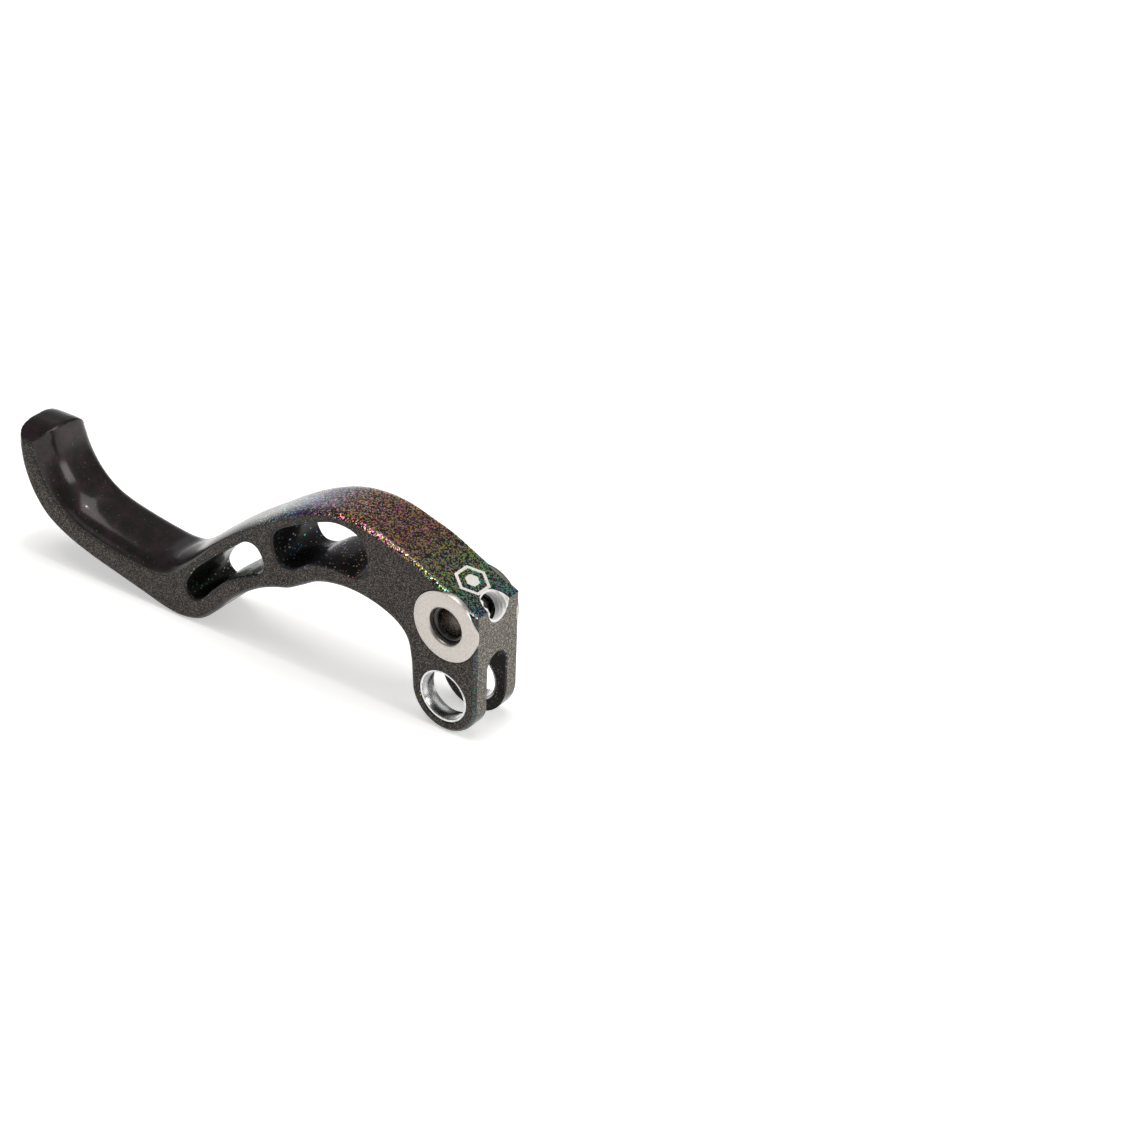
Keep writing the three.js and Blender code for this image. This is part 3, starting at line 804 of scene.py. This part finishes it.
def lockRing(along, radius, steps):
    return [lockPlace(along, radius, 2 * math.pi * step / steps) for step in range(steps)]


def lockCutter():
    minor, outer = lockSizes["minor"], lockSizes["outer"] + 0.03
    levels = [(1.5, minor), (3.4, minor), (3.4, outer), (9, outer)]
    return loftShape("lockCutter", [lockRing(along, radius, 64) for along, radius in levels])


def makeThread():
    sizes = lockSizes
    steps, rows = 72, int((sizes["end"] - sizes["start"]) / sizes["pitch"] * 16)
    inner = []
    for row in range(rows + 1):
        along = sizes["start"] + (sizes["end"] - sizes["start"]) * row / rows
        ring = []
        for step in range(steps):
            turn = (along / sizes["pitch"] - step / steps) % 1.0
            wave = min(1.0, max(0.0, 1.25 * abs(2 * turn - 1) - 0.1))
            radius = sizes["minor"] + (sizes["major"] - sizes["minor"]) * wave
            ring.append(lockPlace(along, radius, 2 * math.pi * step / steps))
        inner.append(ring)
    outer = [lockRing(along, sizes["outer"], steps) for along in (sizes["end"], sizes["start"])]
    piece = loftShape("threadInsert", inner + outer, capped=False, closed=True)
    # cut flush with the spine and the end face
    corner = crossing(endNormal, bladeSizes["endReach"] - 0.04, spineNormal, bladeSizes["spineReach"] - 0.04)
    down = corner + 14 * np.array([endNormal[1], -endNormal[0]])
    left = corner + 14 * np.array([-spineNormal[1], spineNormal[0]])
    wedge = [tuple(corner), tuple(left), (left[0], down[1]), tuple(down)]
    cutter = loftShape("wedge", [[(x, y, z) for x, z in wedge] for y in (-6, 6)])
    useCutter(piece, cutter, "INTERSECT")
    finishShape(piece, 40)
    return piece


def makeBlade():
    blade = makeBlank()
    blade.data.materials.append(flakePaint())
    # a darker copy of the paint for the cut walls: painted shade in the recesses
    shadedInnerPaint = flakePaint("shadedInnerPaint", inner=True)
    print("blade blank", len(blade.data.polygons), "faces")
    useCutter(blade, tipCutter())
    softenTip(blade)
    for corners in windowOutlines():
        cutter = windowCutter(corners)
        cutter.data.materials.append(shadedInnerPaint)
        useCutter(blade, cutter)
    for cutter in (slotCutter(), pivotCutter(), earCutter(), lockCutter()):
        cutter.data.materials.append(shadedInnerPaint)
        useCutter(blade, cutter)
    finishShape(blade, 35, weighted=True)
    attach(blade, "blade")
    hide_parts("lever_blade")
    print("blade done", len(blade.data.polygons), "faces")
    return blade


def makePivotParts():
    sizes = pivotSizes
    mouth, flare, innerEnd = sizes["mouth"], sizes["mouthFlare"], sizes["bushInnerEnd"]
    metal = turnedMetal("ringMetal", (0.60, 0.56, 0.525, 1), 0.34)
    for node, name, side in (("pivot_bush_near", "pivotBushNear", -1), ("pivot_bush_far", "pivotBushFar", 1)):
        # the far flange sits deeper and is a little smaller
        face = faceOut if side < 0 else faceOut - sizes["farDeeper"]
        flange = sizes["flange"] if side < 0 else sizes["flange"] - sizes["farSmaller"]
        profile = [
            (mouth + flare, face), (mouth + flare * 0.55, face - 0.06), (mouth + flare * 0.2, face - 0.2),
            (mouth + 0.01, face - 0.42), (mouth, face - 0.6), (mouth, sizes["grooveOuter"]),
            (sizes["grooveRadius"], sizes["grooveOuter"]), (sizes["grooveRadius"], sizes["grooveInner"]),
            (sizes["run"], sizes["grooveInner"]), (sizes["run"], innerEnd), (sizes["bush"], innerEnd),
            (sizes["bush"], face - 0.85), (flange, face - 0.85), (flange, face - 0.1),
            (flange - 0.03, face - 0.03), (flange - 0.1, face), (4.6, face),
        ]
        bush = turnShape(name, [(r, y * side) for r, y in profile], 128)
        bush.data.materials.append(metal)
        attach(bush, "blade")
        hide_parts(node)
    sealRubber = rubber("sealRubber")
    for node, name, side in (("pivot_seal_near", "pivotSealNear", -1), ("pivot_seal_far", "pivotSealFar", 1)):
        section, turns = sizes["sealSection"], [2 * math.pi * step / 24 for step in range(24)]
        ringProfile = [(sizes["sealRadius"] + section * math.cos(turn),
                        side * (sizes["sealPlace"] + section * math.sin(turn))) for turn in turns]
        seal = turnShape(name, ringProfile, 96)
        seal.data.materials.append(sealRubber)
        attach(seal, "blade")
        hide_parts(node)
    outer, inner, end = sizes["sleeveOuter"], sizes["sleeveBore"], sizes["sleeveEnd"]
    sleeveProfile = [
        (inner + 0.15, -end), (outer - 0.15, -end), (outer - 0.04, -end + 0.04), (outer, -end + 0.15),
        (outer, end - 0.15), (outer - 0.04, end - 0.04), (outer - 0.15, end), (inner + 0.15, end),
        (inner + 0.04, end - 0.04), (inner, end - 0.15), (inner, -end + 0.15), (inner + 0.04, -end + 0.04),
    ]
    sleeve = turnShape("pivotSleeve", sleeveProfile, 96)
    sleeve.data.materials.append(turnedMetal("sleeveSteel", (0.42, 0.39, 0.36, 1), 0.26, 7000.0, 0.3))
    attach(sleeve, "sleeve")
    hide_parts("pivot_sleeve")
    print("pivot parts done")


linerSizes = {"low": 2.3, "high": 5.15, "color": (0.83, 0.835, 0.84, 1), "roughness": 0.2}


def makeEarLiners():
    metal = turnedMetal("linerMetal", linerSizes["color"], linerSizes["roughness"], 5200.0, 0.25, 0.35, centre=ear)
    for node, name, side in (("ear_liner_near", "earLinerNear", -1), ("ear_liner_far", "earLinerFar", 1)):
        low, high = linerSizes["low"], linerSizes["high"]
        profile = [(4.06, low), (4.34, low), (4.4, low + 0.06), (4.4, high - 0.06), (4.34, high),
                   (4.12, high), (4.03, high - 0.05), (4.0, high - 0.14), (4.0, low + 0.12), (4.02, low + 0.04)]
        liner = turnShape(name, [(r, y * side) for r, y in profile], 112, centre=ear)
        liner.data.materials.append(metal)
        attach(liner, "blade")
        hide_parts(node)
    print("ear liners done")


def makeInsert():
    insert = makeThread()
    insert.data.materials.append(threadMetal("insertSteel"))
    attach(insert, "blade")
    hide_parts("thread_insert")
    print("threaded insert done")


markSetup = {"along": -1.5, "across": 0.1, "outer": 2.9, "inner": 2.35, "dot": 1.2, "proud": 0.04}


def makeMark():
    material = turnedMetal("markMetal", (1.0, 0.95, 0.91, 1), 0.5, 4000.0, 0.05, 0.1)
    tangent = Vector((spineNormal[1], 0, -spineNormal[0]))
    normal = Vector((spineNormal[0], 0, spineNormal[1]))
    side = Vector((0, 1, 0))
    place = normal * (bladeSizes["spineReach"] - 0.12) + tangent * markSetup["along"] + side * markSetup["across"]
    start = pivot + place * mm
    turn = Matrix((tangent, side, normal)).transposed().to_4x4()
    bpy.ops.object.select_all(action="DESELECT")
    bpy.ops.mesh.primitive_cylinder_add(vertices=6, radius=markSetup["outer"] * mm, depth=0.3 * mm)
    frameRing = bpy.context.object
    frameRing.name = "spineMark"
    bpy.ops.object.mode_set(mode="EDIT")
    bpy.ops.mesh.select_mode(type="FACE")
    bpy.ops.mesh.select_all(action="DESELECT")
    bpy.ops.object.mode_set(mode="OBJECT")
    for face in frameRing.data.polygons:
        face.select = abs(face.normal.z) > 0.9
    bpy.ops.object.mode_set(mode="EDIT")
    bpy.ops.mesh.inset(thickness=(markSetup["outer"] - markSetup["inner"]) * mm * 0.87)
    bpy.ops.mesh.bridge_edge_loops()
    bpy.ops.object.mode_set(mode="OBJECT")
    bpy.ops.object.select_all(action="DESELECT")
    bpy.ops.mesh.primitive_cylinder_add(vertices=6, radius=markSetup["dot"] * mm, depth=0.3 * mm)
    dot = bpy.context.object
    dot.name = "spineMarkDot"
    for piece in (frameRing, dot):
        lift = (0.12 + markSetup["proud"] - 0.15) * mm
        piece.data.transform(Matrix.Translation(start) @ turn @ Matrix.Translation((0, 0, lift)))
        finishShape(piece, 30)
        piece.data.materials.append(material)
        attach(piece, "blade")
    print("mark done")


makeCamera()
makeLights()
makeFloor()
makeBlade()
makePivotParts()
makeEarLiners()
makeInsert()
makeMark()
